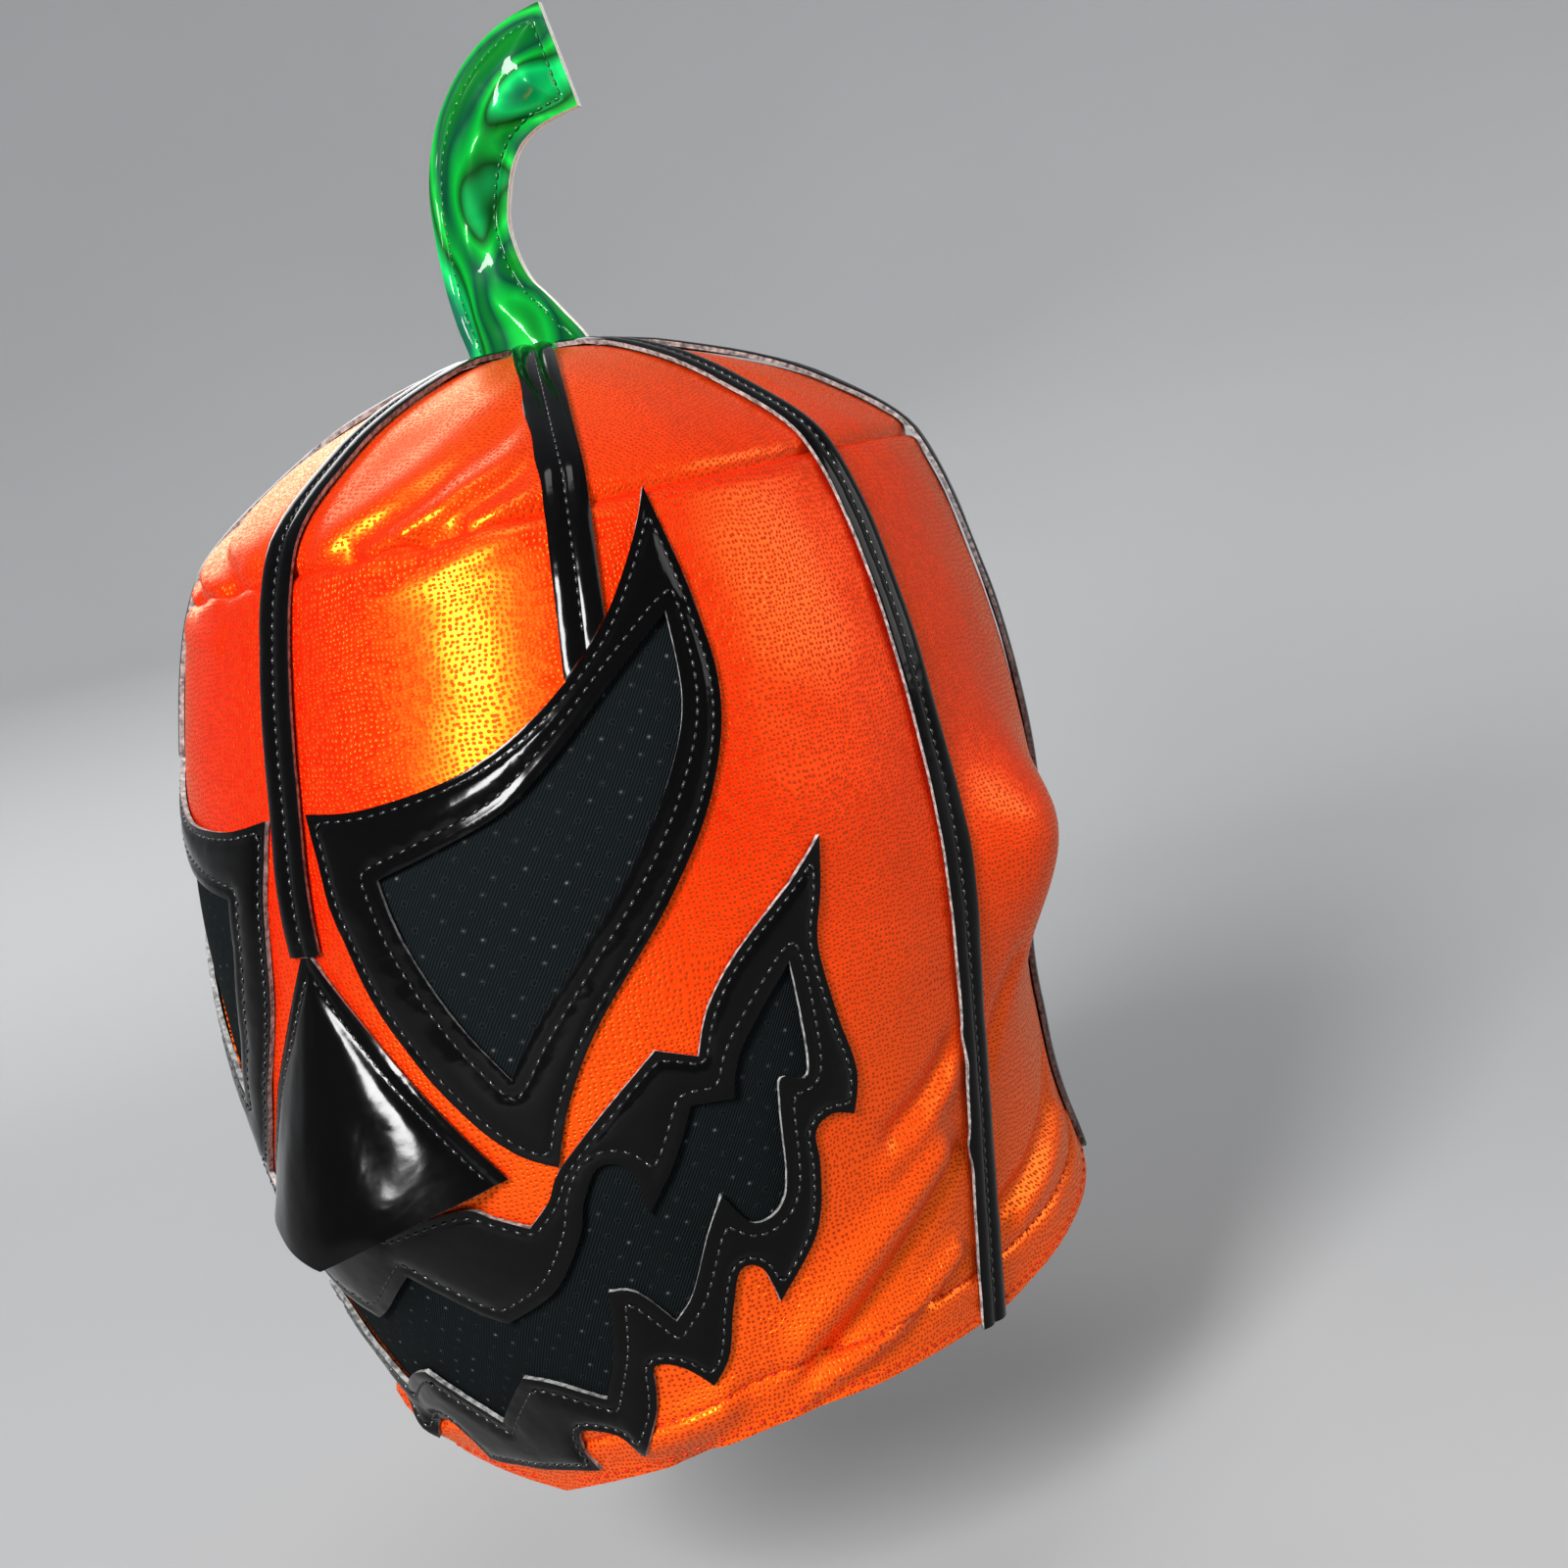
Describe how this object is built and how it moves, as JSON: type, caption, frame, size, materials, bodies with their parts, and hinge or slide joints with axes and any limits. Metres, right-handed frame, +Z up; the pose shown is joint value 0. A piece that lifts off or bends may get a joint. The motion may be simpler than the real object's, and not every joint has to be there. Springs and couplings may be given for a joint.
{
  "type": "pumpkin face wrestling mask",
  "caption": "Full-head luchador mask sewn of orange foil stretch fabric, with gloss black vinyl ribs, nose, eye and mouth borders, dark mesh openings and a stuffed green stem",
  "frame": {"origin": "inside of the crown under the stem, where the top of a head seats", "axes": "+Z up, the face looks along -Y, +X is the wearer's left"},
  "size_m": [0.1682, 0.2018, 0.2905],
  "materials": {
    "foil_fabric": "orange-red stretch fabric with a fine metallic foil dot",
    "gloss_vinyl": "high-gloss black coated vinyl with a pale cut edge and black topstitching",
    "knit_mesh": "matt black ribbed knit mesh with small staggered holes",
    "stem_vinyl": "green holographic gloss vinyl on a pale backing"
  },
  "bodies": {
    "root": {"crown_front_left": "foil_fabric", "crown_front_right": "foil_fabric", "crown_temple_left": "foil_fabric", "crown_temple_right": "foil_fabric", "crown_side_left": "foil_fabric", "crown_side_right": "foil_fabric", "crown_back_left": "foil_fabric", "crown_back_right": "foil_fabric", "face_left": "foil_fabric", "face_right": "foil_fabric", "cheek_left": "foil_fabric", "cheek_right": "foil_fabric", "nape_left": "foil_fabric", "nape_right": "foil_fabric", "eye_border_left": "gloss_vinyl", "eye_border_right": "gloss_vinyl", "eye_mesh_left": "knit_mesh", "eye_mesh_right": "knit_mesh", "mouth_border": "gloss_vinyl", "mouth_mesh": "knit_mesh", "nose": "gloss_vinyl", "rib_front_centre": "gloss_vinyl", "rib_front_left": "gloss_vinyl", "rib_front_right": "gloss_vinyl", "rib_side_left": "gloss_vinyl", "rib_side_right": "gloss_vinyl", "rib_back_left": "gloss_vinyl", "rib_back_right": "gloss_vinyl", "rib_back_centre": "gloss_vinyl", "stem_front": "stem_vinyl", "stem_back": "stem_vinyl"}
  },
  "joints": []
}
